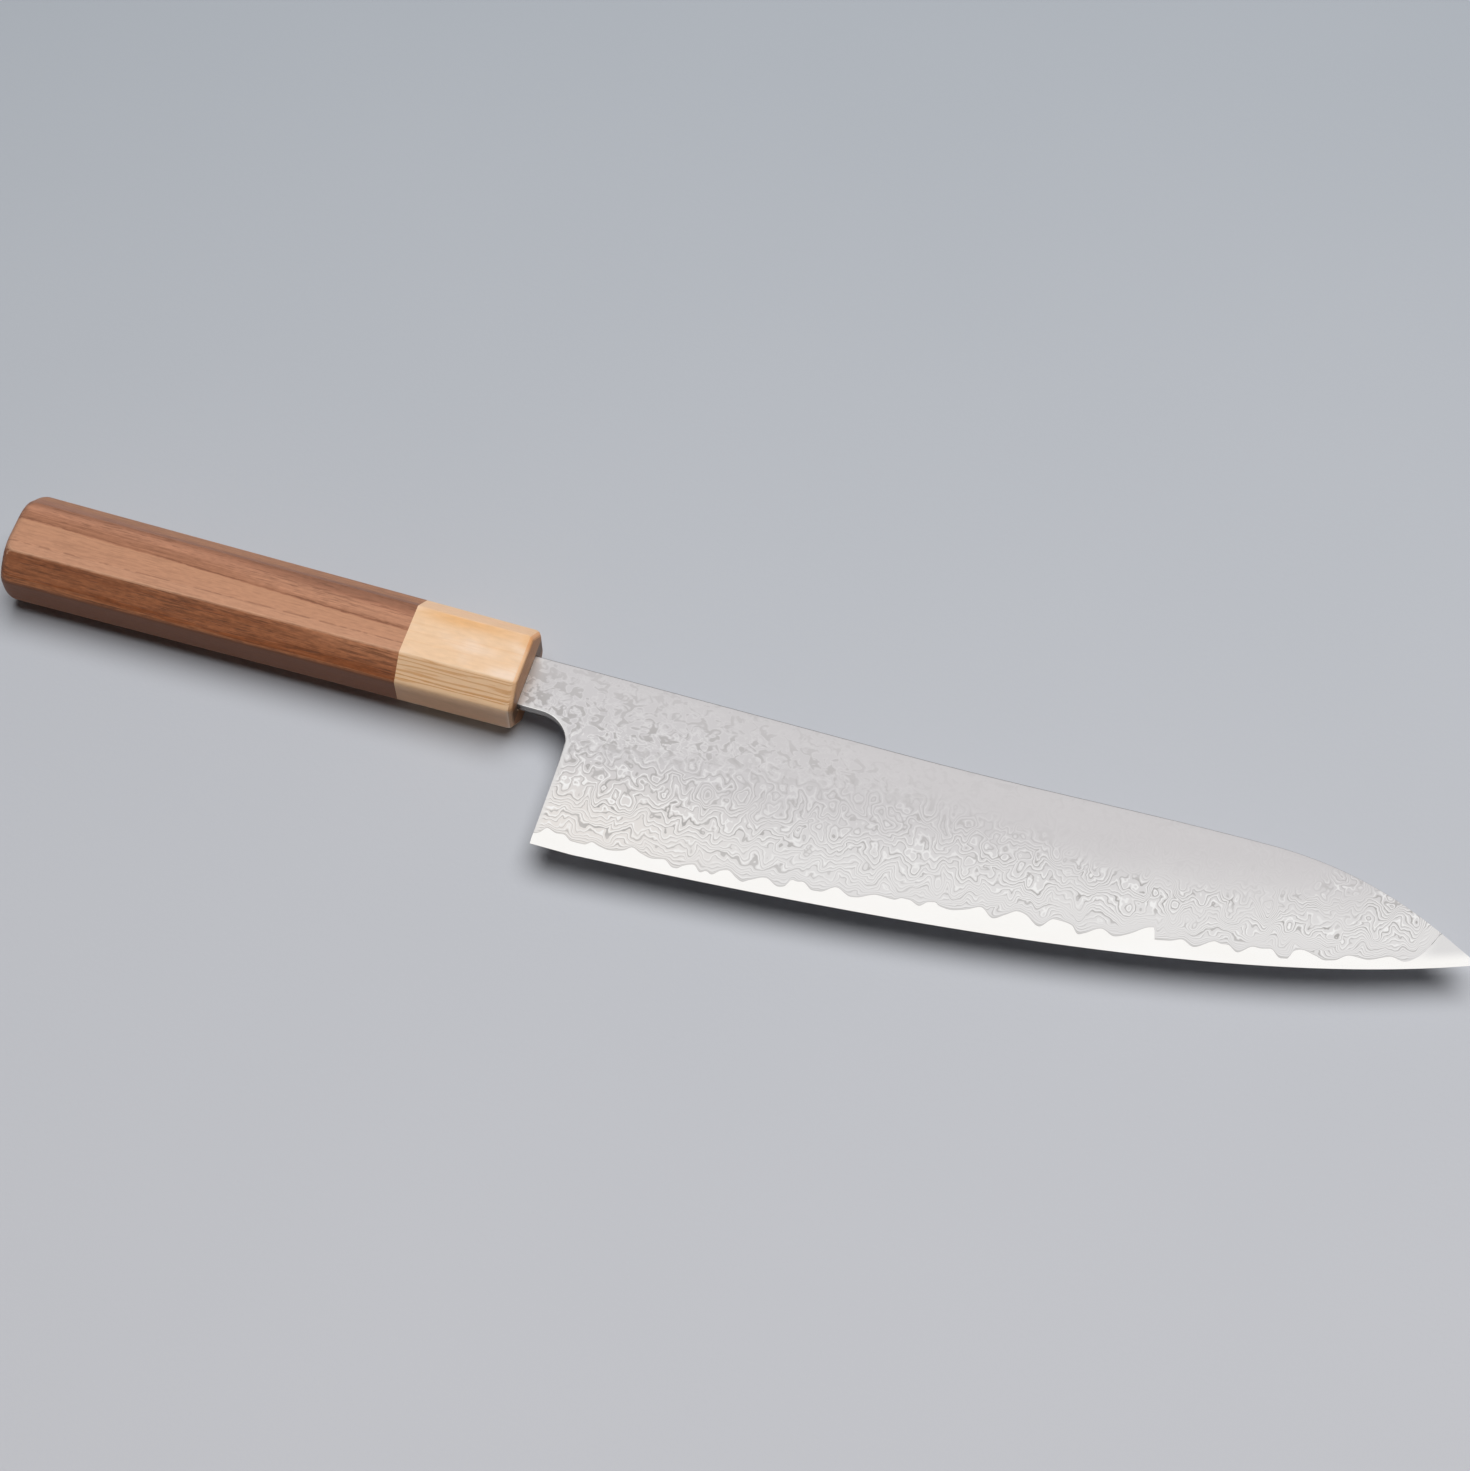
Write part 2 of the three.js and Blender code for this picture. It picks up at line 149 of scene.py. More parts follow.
# Wavy line between cladding and bare core, in millimetres: distance from the heel, height above the edge
WAVES = (
    (0.0, 2.6), (1.4, 3.2), (2.6, 4.7), (5.0, 4.0), (6.7, 4.2), (8.8, 3.1),
    (12.0, 3.05), (13.4, 4.0), (15.2, 3.4), (17.5, 2.95), (20.8, 3.6), (22.5, 4.8),
    (24.8, 3.8), (27.5, 3.1), (30.3, 3.5), (32.8, 1.95), (33.6, 1.97), (34.8, 2.9),
    (37.0, 3.7), (39.0, 2.15), (40.1, 2.8), (41.5, 2.2), (43.3, 3.6), (44.8, 4.0),
    (47.1, 2.6), (48.6, 1.92), (50.0, 2.65), (53.4, 4.0), (56.7, 2.45), (58.0, 2.8),
    (59.2, 4.75), (60.5, 4.55), (61.6, 4.75), (64.3, 3.12), (66.0, 3.17), (69.2, 4.92),
    (72.9, 3.27), (74.0, 3.35), (78.3, 4.83), (82.4, 4.45), (83.9, 5.15), (85.6, 5.05),
    (88.1, 3.98), (89.7, 5.25), (91.4, 5.5), (92.3, 4.8), (95.0, 4.3), (98.5, 5.05),
    (101.3, 6.15), (104.6, 3.88), (107.0, 5.2), (109.4, 6.5), (111.2, 6.05), (114.9, 3.55),
    (117.5, 5.85), (120.2, 5.5), (121.8, 4.95), (123.6, 3.0), (125.0, 3.5), (128.2, 5.12),
    (131.4, 3.62), (134.2, 4.55), (138.4, 6.85), (139.5, 6.95), (140.1, 3.95), (143.5, 4.1),
    (145.8, 4.7), (148.8, 3.13), (153.0, 5.0), (154.3, 4.55), (155.9, 4.42), (158.3, 2.74),
    (161.3, 4.42), (163.2, 4.1), (165.1, 4.2), (167.7, 2.0), (169.2, 1.97), (170.2, 4.0),
    (171.6, 4.37), (174.8, 3.1), (177.3, 1.95), (179.2, 2.05), (181.9, 3.3), (186.4, 2.31),
    (190.7, 3.06), (194.2, 1.74), (196.2, 2.07), (199.3, 1.9), (203.2, 2.8), (210.0, 2.2),
)
WAVE_BLUR = 4.0 * MM
WAVE_REACH = 2.2
WAVE_SPAN = 2
WAVE_SAMPLES = 33

# Fineness of the steel
CURVE_SAMPLES = 4000
NECK_COLUMNS = 6
CHOIL_COLUMNS = 22
HEEL_COLUMNS = 20
EDGE_COLUMNS = 520
HEEL_LEAN = 3.0 * MM
LEAN_RUN = 42.0 * MM
BISECTIONS = 40
EASE_STEPS = (0.0, 0.08, 0.27, 0.58, 1.0)
FACE_ROWS = 14
STRIP_ROWS = 4
UNDER_ROWS = 2
FOOT = 2.4 * MM
WELD = 1e-7
NEAR = 1e-6
CLADDING_SMOOTHING = math.radians(40)
CORE_SMOOTHING = math.radians(9)

# Camera
CAMERA_PLACE = Vector((100.3, -297.9, 616.35)) * MM
CAMERA_AZIMUTH = math.radians(17.52)
CAMERA_ELEVATION = math.radians(61.69)
CAMERA_ROLL = math.radians(0.565)
FOCAL_PIXELS = 3000
IMAGE_HEIGHT = 1471
SENSOR = 36.0

# Floor and light, sizes in metres
FLOOR_SIZE = 6
LAMP_DIRECTION = (0.06, 0.2, 1.0)
LAMP_DISTANCE = 1.4
LAMP_RADIUS = 0.65
LAMP_RADIANCE = 5.4
ROOM_FILL = 0.01
ROOM_LOW = 0.42
ROOM_RISE = 0.56
ROOM_HEIGHTS = (0.15, 0.65)

# Shared by the finishes
# Sides of the neck, choil and spine are painted dark grey: painted reflection of the shaded floor
SIDE_DARK_REFLECTION = (0.32, 0.303, 0.29)
WOOD_SHINE = {"Specular IOR Level": 0.35}
METAL = {"Metallic": 1.0}


# Modelling steps
def deselect():
    bpy.ops.object.select_all(action="DESELECT")


def named(name):
    piece = bpy.context.active_object
    piece.name = name
    piece.data.name = name
    return piece


def make_active(piece):
    deselect()
    piece.select_set(True)
    bpy.context.view_layer.objects.active = piece


def begin_edit(piece, mode):
    make_active(piece)
    bpy.ops.object.mode_set(mode="EDIT")
    bpy.ops.mesh.select_mode(type=mode)
    bpy.ops.mesh.select_all(action="DESELECT")


def pick(piece, kind, test):
    skin = bmesh.from_edit_mesh(piece.data)
    for item in getattr(skin, kind):
        item.select_set(False)
    for item in getattr(skin, kind):
        if test(item):
            item.select_set(True)
    skin.select_flush_mode()
    bmesh.update_edit_mesh(piece.data)


def end_edit():
    bpy.ops.object.mode_set(mode="OBJECT")


def cut_away(piece, cutter):
    make_active(piece)
    cut = piece.modifiers.new("cut", "BOOLEAN")
    cut.operation = "DIFFERENCE"
    cut.solver = "EXACT"
    cut.object = cutter
    bpy.ops.object.modifier_apply(modifier=cut.name)
    bpy.data.objects.remove(cutter)


def close_skin(piece):
    begin_edit(piece, "VERT")
    bpy.ops.mesh.select_all(action="SELECT")
    bpy.ops.mesh.remove_doubles(threshold=WELD)
    bpy.ops.mesh.dissolve_degenerate(threshold=WELD)
    bpy.ops.mesh.normals_make_consistent(inside=False)
    end_edit()


def piece_points(piece):
    points = np.empty(len(piece.data.vertices) * 3)
    piece.data.vertices.foreach_get("co", points)
    return points.reshape(-1, 3)


def move_points(piece, points):
    piece.data.vertices.foreach_set("co", points.ravel())
    piece.data.update()


def smooth(piece, angle):
    make_active(piece)
    bpy.ops.object.shade_smooth_by_angle(angle=angle)


def hand_over(piece, node, finish):
    piece.data.materials.clear()
    piece.data.materials.append(finish)
    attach(piece, "root")
    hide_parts(node)


# Handle pieces
def handle_height(x):
    return BUTT_HEIGHT + (FRONT_HEIGHT - BUTT_HEIGHT) * (x - BUTT_X) / HANDLE_LENGTH


def side_flat(x):
    return BUTT_SIDE_FLAT + (FRONT_SIDE_FLAT - BUTT_SIDE_FLAT) * (x - BUTT_X) / HANDLE_LENGTH


def handle_corners(x):
    tall, flat = handle_height(x) / 2, side_flat(x) / 2
    back, wide = SPINE_FLAT / 2, HANDLE_WIDTH / 2
    quarter = np.array([(tall, back), (flat, wide)])
    half = np.vstack([quarter, quarter[::-1] * (-1, 1)])
    return np.vstack([half, -half])


def handle_section(x, inset, corner, oval):
    """Points round the octagon, an arc and two flat points at each corner, drawn towards an oval."""
    points = handle_corners(x)
    sides = np.roll(points, -1, axis=0) - points
    along = sides / np.linalg.norm(sides, axis=1)[:, None]
    outward = np.column_stack([along[:, 1], -along[:, 0]])
    reach = np.sum(outward * points, axis=1) - inset
    rounds = np.maximum(CORNER_ROUNDS, corner)
    ring = []
    for i in range(len(points)):
        centre = np.linalg.solve(outward[[i - 1, i]], reach[[i - 1, i]] - rounds[i])
        swing = math.acos(outward[i - 1] @ outward[i])
        angles = math.atan2(outward[i - 1][1], outward[i - 1][0]) + swing * np.linspace(0, 1, ARC_POINTS)
        arc = centre + rounds[i] * np.column_stack([np.cos(angles), np.sin(angles)])
        ring += [arc[0] - along[i - 1] * EDGE_SUPPORT, *arc, arc[-1] + along[i] * EDGE_SUPPORT]
    turns = math.pi / 8 + 2 * math.pi / RING_POINTS * (np.arange(RING_POINTS) - (ARC_POINTS + 1) / 2)
    axes = np.array([handle_height(x), HANDLE_WIDTH]) / 2 - inset
    rim = axes * np.column_stack([np.cos(turns), np.sin(turns)])
    return np.array(ring) * (1 - oval) + rim * oval


def add_rod(sides, radius, start, end):
    """A cylinder along the handle's axis."""
    deselect()
    bpy.ops.mesh.primitive_cylinder_add(
        vertices=sides, radius=radius, depth=abs(end - start),
        location=((start + end) / 2, AXIS_Y, AXIS_Z), rotation=(0, math.pi / 2, 0),
    )


def drawn_blank(name, stations):
    """A round blank along X, its end drawn out from station to station."""
    add_rod(RING_POINTS, HANDLE_WIDTH / 2, *stations[:2])
    blank = named(name)
    bpy.ops.object.transform_apply(location=True, rotation=True, scale=True)
    begin_edit(blank, "FACE")
    for here, there in zip(stations[1:], stations[2:]):
        pick(blank, "faces", lambda f: all(abs(v.co.x - here) < NEAR for v in f.verts))
        bpy.ops.mesh.extrude_region_move(TRANSFORM_OT_translate={"value": (there - here, 0, 0)})
    end_edit()
    return blank


def shape_blank(blank, stations, *shapes):
    """Planes the round blank to the handle's octagon at every station."""
    places = piece_points(blank)
    ring = np.argmin(np.abs(places[:, :1] - np.array(stations)), axis=1)
    angle = np.arctan2(places[:, 2] - AXIS_Z, places[:, 1] - AXIS_Y)
    turn = np.rint(angle / (2 * math.pi / RING_POINTS)).astype(int) % RING_POINTS
    sections = np.array([handle_section(*station) for station in zip(stations, *shapes)])
    places[:, 0] = np.array(stations)[ring]
    places[:, 1:] = sections[ring, turn] + (AXIS_Y, AXIS_Z)
    move_points(blank, places)


def rounded_block(name, joint, end, radius, run, end_corner, end_oval, steps):
    """A length of the handle from the joint to an end, with a rim that is rounded over a run."""
    turns = np.linspace(0, math.pi / 2, steps + 1)
    inward = math.copysign(run, joint - end)
    stations = [joint, *(end + inward * (1 - np.sin(turns)))]
    insets = [0, *(radius * (1 - np.cos(turns)))]
    turned = np.array([0, *np.linspace(0, 1, steps + 1)])
    block = drawn_blank(name, stations)
    shape_blank(block, stations, insets, turned * end_corner, turned * end_oval)
    return block


def facet_angle(normal):
    return math.degrees(math.atan2(normal.z, normal.y))


def angle_gap(angle, directions):
    return min(abs((angle - d + 180) % 360 - 180) for d in directions)


def chamfer(normal):
    return min(max((CHAMFER_REACH - angle_gap(facet_angle(normal), CHAMFERS)) / CHAMFER_FADE, 0), 1)


def worn_edge(normal):
    return float(abs(normal.x) < WORN_HIGHLIT_LEAN and angle_gap(facet_angle(normal), WORN_HIGHLIT_EDGES) < WORN_HIGHLIT_REACH)


def end_grain(normal):
    return min(max((abs(normal.x) - END_LEAN) / (1 - END_LEAN), 0), 1)


def steel_side(normal):
    return float(abs(normal.z) < SIDE_LEAN or (abs(normal.z) < BACK_LEAN and normal.y > SPINE_LEAN))


# Rounded rims of the cladding along the neck and choil, painted as a white highlight
def bright_edge(normal):
    return float(SIDE_LEAN <= abs(normal.z) < FOOT_LEAN and normal.y < SPINE_LEAN)


def paint_faces(piece, name, rule):
    """Keeps a number with each face, worked out from the direction it looks in."""
    layer = piece.data.attributes.new(name, "FLOAT", "FACE")
    layer.data.foreach_set("value", np.array([rule(f.normal) for f in piece.data.polygons], np.float32))


def rod_cutter(back, front):
    add_rod(BORE_SIDES, BORE_DIAMETER / 2, back, front)
    return bpy.context.active_object


def dress_wood(block, node, finish):
    close_skin(block)
    smooth(block, WOOD_SMOOTHING)
    paint_faces(block, "chamfer", chamfer)
    paint_faces(block, "end_grain", end_grain)
    paint_faces(block, "worn_edge", worn_edge)
    hand_over(block, node, finish)


def make_grip(finish):
    grip = rounded_block(
        "walnut_grip", JOINT_X, BUTT_X, BUTT_ROUND, BUTT_RUN, BUTT_CORNER, BUTT_OVAL, BUTT_STEPS,
    )
    cut_away(grip, rod_cutter(MOUTH_X - BORE_BACK, JOINT_X + MOUTH_WALL))
    dress_wood(grip, "handle_body", finish)


def make_ferrule(finish):
    ferrule = rounded_block(
        "pale_ferrule", JOINT_X, MOUTH_X, MOUTH_ROUND, MOUTH_RUN, MOUTH_CORNER, MOUTH_OVAL, MOUTH_STEPS,
    )
    cut_away(ferrule, rod_cutter(JOINT_X - MOUTH_WALL, MOUTH_X - MOUTH_WALL))
    top = SPINE_LEVEL + MOUTH_CLEARANCE
    bottom = NECK_BOTTOM - MOUTH_CLEARANCE
    deselect()
    bpy.ops.mesh.primitive_cube_add(
        size=1, location=(MOUTH_X - MOUTH_WALL / 2, AXIS_Y + (top + bottom) / 2, AXIS_Z),
        scale=(SLOT_CUTTER_LENGTH, top - bottom, NECK_THICKNESS + 2 * MOUTH_CLEARANCE),
    )
    cut_away(ferrule, bpy.context.active_object)
    dress_wood(ferrule, "ferrule", finish)


# Blade outline and section
def sloped_curve(start, start_slope, start_pull, end, end_slope, end_pull):
    run = end[0] - start[0]
    points = np.array([
        start,
        (start[0] + start_pull * run, start[1] + start_pull * run * start_slope),
        (end[0] - end_pull * run, end[1] - end_pull * run * end_slope),
        end,
    ])
    t = np.linspace(0, 1, CURVE_SAMPLES)[:, None]
    weights = np.hstack([(1 - t) ** 3, 3 * (1 - t) ** 2 * t, 3 * (1 - t) * t ** 2, t ** 3])
    return (weights @ points).T


EDGE_CURVE = sloped_curve(EDGE_RISE_POINT, *EDGE_START, TIP_POINT, *EDGE_END)
RISE_CURVE = sloped_curve(RISE_POINT, *RISE_ENDS, CREST_POINT, *RISE_ENDS)
FALL_CURVE = sloped_curve(CREST_POINT, *FALL_START, TIP_POINT, *FALL_END)


def edge_y(x):
    return np.interp(x, *EDGE_CURVE)


def spine_y(x):
    return np.where(x < CREST_X, np.interp(x, *RISE_CURVE), np.interp(x, *FALL_CURVE))


def smoothstep(x, low, high):
    t = np.clip((x - low) / (high - low), 0, 1)
    return t * t * (3 - 2 * t)


def half_thickness(x, y):
    along = np.clip((x - NECK_LENGTH) / BLADE_LENGTH, 0, 1)
    back = (TIP_THICKNESS + (NECK_THICKNESS - TIP_THICKNESS) * (1 - along) ** TAPER_POWER) / 2
    behind = np.minimum(BEHIND_EDGE / 2, back)
    bottom = edge_y(np.maximum(x, NECK_LENGTH))
    rise = np.clip((y - bottom) / np.maximum(spine_y(x) - bottom, WELD), 0, 1)
    ground = behind + (back - behind) * rise ** GRIND_POWER
    return back + (ground - back) * smoothstep(x, 0, NECK_LENGTH)


def wave_slopes(along, height):
    """Slope at each point of the wavy line, level at its tops and bottoms."""
    rise = np.diff(height) / np.diff(along)
    before, after = rise[:-1], rise[1:]
    same = before * after > 0
    slope = np.zeros(len(along))
    slope[1:-1][same] = 2 * before[same] * after[same] / (before[same] + after[same])
    return slope


def strip_height(x):
    """Height of the bare strip above the edge."""
    along, height = (np.array(WAVES) * MM).T
    slope = wave_slopes(along, height)
    place = np.clip(x - NECK_LENGTH, along[0], along[-1])
    at = np.clip(np.searchsorted(along, place, side="right") - 1, 0, len(along) - 2)
    run = along[at + 1] - along[at]
    t = (place - along[at]) / run
    start = height[at] * (1 + 2 * t) * (1 - t) ** 2 + slope[at] * run * t * (1 - t) ** 2
    end = height[at + 1] * t ** 2 * (3 - 2 * t) + slope[at + 1] * run * t ** 2 * (t - 1)
    return start + end


def calm_height(x):
    """The strip's height with its teeth smoothed away."""
    steps = np.linspace(-WAVE_SPAN, WAVE_SPAN, WAVE_SAMPLES)
    weights = np.exp(-steps ** 2)
    heights = [strip_height(x + step * WAVE_BLUR) for step in steps]
    return np.tensordot(weights / weights.sum(), np.array(heights), 1)


def strip_line(x):
    station = np.maximum(x, NECK_LENGTH)
    turn = np.clip((station - CLAD_END + TIP_TURN) / TIP_TURN, 0, 1) ** TURN_POWER
    full = spine_y(station) - edge_y(station)
    height = strip_height(station)
    return edge_y(station) + height + (full - height) * turn


def half_core(x):
    station = np.maximum(x, NECK_LENGTH)
    return half_thickness(station, strip_line(station))


def blade_columns():
    """Columns across the blade, each from a point on the back to a point on the belly side."""
    tops = [(-TANG_LENGTH, TANG_END_HEIGHT / 2), (-MOUTH_WALL, TANG_ROOT_HEIGHT / 2)]
    bottoms = [(-TANG_LENGTH, -TANG_END_HEIGHT / 2), (-MOUTH_WALL, -TANG_ROOT_HEIGHT / 2)]
    arc_start = NECK_LENGTH - CHOIL_RADIUS
    for x in np.linspace(0, arc_start, NECK_COLUMNS):
        tops.append((x, SPINE_LEVEL))
        bottoms.append((x, NECK_BOTTOM))
    turns = CHOIL_COLUMNS + HEEL_COLUMNS
    for step in range(1, turns + 1):
        top_x = arc_start + (NECK_LENGTH + HEEL_LEAN - arc_start) * step / turns
        angle = math.pi / 2 * min(step / CHOIL_COLUMNS, 1)
        drop = max((step - CHOIL_COLUMNS) / HEEL_COLUMNS, 0)
        arc_y = NECK_BOTTOM - CHOIL_RADIUS * (1 - math.cos(angle))
        tops.append((top_x, float(spine_y(top_x))))
        bottoms.append((arc_start + CHOIL_RADIUS * math.sin(angle), arc_y + (EDGE_LEVEL - arc_y) * drop))
    blunt = len(tops) - 1
    for x in np.linspace(NECK_LENGTH, TIP_X, EDGE_COLUMNS + 1)[1:]:
        top_x = min(x + HEEL_LEAN * max(1 - (x - NECK_LENGTH) / LEAN_RUN, 0), TIP_X)
        tops.append((top_x, float(spine_y(top_x))))
        bottoms.append((x, float(edge_y(x))))
    return np.array(tops), np.array(bottoms), np.arange(len(tops)) >= blunt


def clad_shares(tops, bottoms, sharp):
    """Share of each column, from the back, that the cladding covers."""
    low, high = np.zeros(len(tops)), np.ones(len(tops))
    for _ in range(BISECTIONS):
        middle = (low + high) / 2
        points = tops + (bottoms - tops) * middle[:, None]
        above = points[:, 1] > strip_line(points[:, 0])
        low, high = np.where(above, middle, low), np.where(above, high, middle)
    shares = (low + high) / 2
    covered = ~sharp & (bottoms[:, 1] >= strip_line(bottoms[:, 0]))
    shares[covered] = 1
    shares[tops[:, 0] >= CLAD_END] = 0
    return shares


def steel_sheet(name, columns, rows):
    """A flat grid drawn out to a slab of two layers, ready to be shaped."""
    deselect()
    bpy.ops.mesh.primitive_grid_add(x_subdivisions=columns - 1, y_subdivisions=rows - 1, size=1)
    sheet = named(name)
    begin_edit(sheet, "FACE")
    bpy.ops.mesh.select_all(action="SELECT")
    bpy.ops.mesh.extrude_region_move(TRANSFORM_OT_translate={"value": (0, 0, -1)})
    end_edit()
    return sheet


def shape_sheet(sheet, front, back):
    """Moves the slab's two layers to the points of a front and a back face, column by column."""
    columns, rows = front.shape[:2]
    flat = piece_points(sheet)
    column = np.rint((flat[:, 0] + 0.5) * (columns - 1)).astype(int)
    row = np.rint((0.5 - flat[:, 1]) * (rows - 1)).astype(int)
    upper = flat[:, 2] > -0.5
    shaped = np.where(upper[:, None], front[column, row], back[column, row])
    shaped += np.array([MOUTH_X, AXIS_Y, AXIS_Z])
    move_points(sheet, shaped)
    close_skin(sheet)


def column_points(tops, bottoms, shares):
    return tops[:, None] + (bottoms - tops)[:, None] * shares[..., None]


def rounding(distance, radius):
    """How far a rounded corner falls below the face, at a distance from the border."""
    inside = np.clip(radius - distance, 0, radius)
    return radius - np.sqrt(np.maximum(radius ** 2 - inside ** 2, 0))


def sheet_places(sheet):
    """Where the points lie along and across the blade, from the middle of the ferrule's mouth."""
    return piece_points(sheet)[:, :2].T - [[MOUTH_X], [AXIS_Y]]


def keep_values(sheet, name, values):
    layer = sheet.data.attributes.new(name, "FLOAT", "POINT")
    layer.data.foreach_set("value", (values / MM).astype(np.float32))


def keep_depth(sheet):
    """Keeps each point's height above the wavy line, whose teeth fade higher up."""
    x, y = sheet_places(sheet)
    above = y - strip_line(x)
    station = np.maximum(x, NECK_LENGTH)
    teeth = strip_height(station) - calm_height(station)
    settled = 1 - np.exp(-np.maximum(above, 0) / MM / WAVE_REACH)
    keep_values(sheet, "above_line", above + teeth * settled)


def make_cladding(name, node, side, finish):
    tops, bottoms, sharp = blade_columns()
    clad = clad_shares(tops, bottoms, sharp)
    last = int(np.argmax(clad == 0))
    tops, bottoms, sharp, clad = (part[: last + 1] for part in (tops, bottoms, sharp, clad))
    length = np.linalg.norm(tops - bottoms, axis=1)
    covered = clad * length
    spare = np.maximum(half_thickness(*tops.T) - half_core(tops[:, 0]), 0)
    ease = np.minimum(np.minimum(SPINE_EASE, EASE_SHARE * spare), covered / RIM_PARTS)
    blunt = (clad > 1 - WELD) & ~sharp
    foot = np.where(blunt, ease, np.minimum(FOOT, covered / RIM_PARTS))
    steps = np.array(EASE_STEPS)
    inner = np.linspace(0, 1, FACE_ROWS + 1)[1:-1]
    face = ease[:, None] + (covered - ease - foot)[:, None] * inner
    distance = np.hstack([
        ease[:, None] * steps, face, covered[:, None] - foot[:, None] * steps[::-1],
    ])
    shares = distance / np.maximum(length, WELD)[:, None]
    points = column_points(tops, bottoms, shares)
    x, y = points[..., 0], points[..., 1]
    outer = half_thickness(x, y) - rounding(distance, ease[:, None])
    outer -= rounding(covered[:, None] - distance, ease[:, None]) * blunt[:, None]
    under = np.minimum(half_core(x), outer)
    outer[~blunt, -1] = under[~blunt, -1] = half_thickness(x, y)[~blunt, -1]
    front = np.dstack([x, y, side * outer])
    back = np.dstack([x, y, side * under])
    sheet = steel_sheet(name, *front.shape[:2])
    shape_sheet(sheet, front, back)
    smooth(sheet, CLADDING_SMOOTHING)
    keep_depth(sheet)
    paint_faces(sheet, "steel_side", steel_side)
    paint_faces(sheet, "bright_edge", bright_edge)
    hand_over(sheet, node, finish)


def make_core(finish):
    tops, bottoms, sharp = blade_columns()
    clad = clad_shares(tops, bottoms, sharp)
    length = np.maximum(np.linalg.norm(tops - bottoms, axis=1), WELD)
    bevel = np.maximum(1 - BEVEL_HEIGHT / np.maximum(length, BEVEL_HEIGHT), (1 + clad) / 2)
    bevel[~sharp] = 1
    under = clad[:, None] * np.linspace(0, 1, UNDER_ROWS + 1)
    strip = clad[:, None] + (bevel - clad)[:, None] * np.linspace(0, 1, STRIP_ROWS + 1)[1:]
    shares = np.hstack([under, strip, np.ones((len(tops), 1))])
    points = column_points(tops, bottoms, shares)
    x, y = points[..., 0], points[..., 1]
    half = half_thickness(x, y)
    hidden = shares < clad[:, None] + WELD
    hidden[clad == 0] = False
    half = np.where(hidden, np.minimum(half_core(x), half), half)
    blunt = (clad > 1 - WELD) & ~sharp
    half[blunt] = np.minimum(half_core(x), half)[blunt]
    half[sharp, -1] = 0
    half[-1] = 0
    front = np.dstack([x, y, half])
    back = np.dstack([x, y, -half])
    sheet = steel_sheet("bare_core", *front.shape[:2])
    shape_sheet(sheet, front, back)
    smooth(sheet, CORE_SMOOTHING)
    x, y = sheet_places(sheet)
    keep_values(sheet, "above_edge", y - edge_y(x))
    paint_faces(sheet, "steel_side", steel_side)
    hand_over(sheet, "blade_core", finish)


# Shader nodes
class Wire:
    """A node's socket that takes part in Python arithmetic."""

    def __init__(self, tree, socket=None):
        self.tree = tree
        self.socket = socket

    def add(self, kind, settings=None, inputs=None, out=0):
        node = self.tree.nodes.new(kind)
        for name, value in (settings or {}).items():
            if name == "stops":
                ramp = node.color_ramp
                for place, _ in value[len(ramp.elements):]:
                    ramp.elements.new(place)
                for stop, (place, colour) in zip(ramp.elements, value):
                    stop.position = place
                    stop.color = (*colour, 1)
            else:
                setattr(node, name, value)
        for name, value in (inputs or {}).items():
            if isinstance(value, Wire):
                self.tree.links.new(value.socket, node.inputs[name])
            else:
                node.inputs[name].default_value = value
        return Wire(self.tree, node.outputs[out] if node.outputs else None)

    def math(self, operation, *terms):
        return self.add("ShaderNodeMath", {"operation": operation}, dict(enumerate(terms)))

    def __add__(self, other):
        return self.math("ADD", self, other)

    __radd__ = __add__

    def __sub__(self, other):
        return self.math("SUBTRACT", self, other)

    def __rsub__(self, other):
        return self.math("SUBTRACT", other, self)

    def __mul__(self, other):
        return self.math("MULTIPLY", self, other)

    __rmul__ = __mul__

    def __truediv__(self, other):
        return self.math("DIVIDE", self, other)

    def __pow__(self, other):
        return self.math("POWER", self, other)

    def __abs__(self):
        return self.math("ABSOLUTE", self)


def step_between(value, low, high):
    settings = {"interpolation_type": "SMOOTHSTEP"}
    return value.add("ShaderNodeMapRange", settings, {"Value": value, "From Min": low, "From Max": high})


def blend(factor, first, second):
    colours = [c if isinstance(c, Wire) else (*c, 1) for c in (first, second)]
    inputs = {0: factor, 6: colours[0], 7: colours[1]}
    return factor.add("ShaderNodeMix", {"data_type": "RGBA"}, inputs, out=2)


def vector_math(operation, value, inputs):
    settings = {"operation": operation}
    return value.add("ShaderNodeVectorMath", settings, {0: value, **inputs}, out="Vector")


def stretch(place, scale):
    return vector_math("MULTIPLY", place, {1: scale})


def noise(place, scale, detail=2.0, rough=0.5, warp=0.0):
    inputs = {"Vector": place, "Scale": scale, "Detail": detail, "Roughness": rough, "Distortion": warp}
    return place.add("ShaderNodeTexNoise", {"noise_dimensions": "3D"}, inputs)


def split(place):
    node = place.add("ShaderNodeSeparateXYZ", None, {"Vector": place}).socket.node
    return [Wire(place.tree, socket) for socket in node.outputs]


def start_finish(name):
    material = bpy.data.materials.new(name)
    material.use_nodes = True
    material.node_tree.nodes.clear()
    desk = Wire(material.node_tree)
    place = desk.add("ShaderNodeTexCoord", out="Object")
    return material, place


def end_finish(place, colour, roughness, height, bump, constants=None):
    relief = {"Height": height, "Strength": 1.0, "Distance": bump}
    inputs = {"Base Color": colour, "Roughness": roughness, **(constants or {})}
    inputs["Normal"] = place.add("ShaderNodeBump", None, relief)
    shader = place.add("ShaderNodeBsdfPrincipled", None, inputs)
    place.add("ShaderNodeOutputMaterial", None, {"Surface": shader})


# Finishes
def handle_spot(place):
    """Place in millimetres from the handle's axis at the joint."""
    offset = vector_math("SUBTRACT", place, {1: (JOINT_X, AXIS_Y, AXIS_Z)})
    return stretch(offset, (1 / MM, 1 / MM, 1 / MM))


def attribute(place, name):
    return place.add("ShaderNodeAttribute", {"attribute_name": name}, out="Fac")


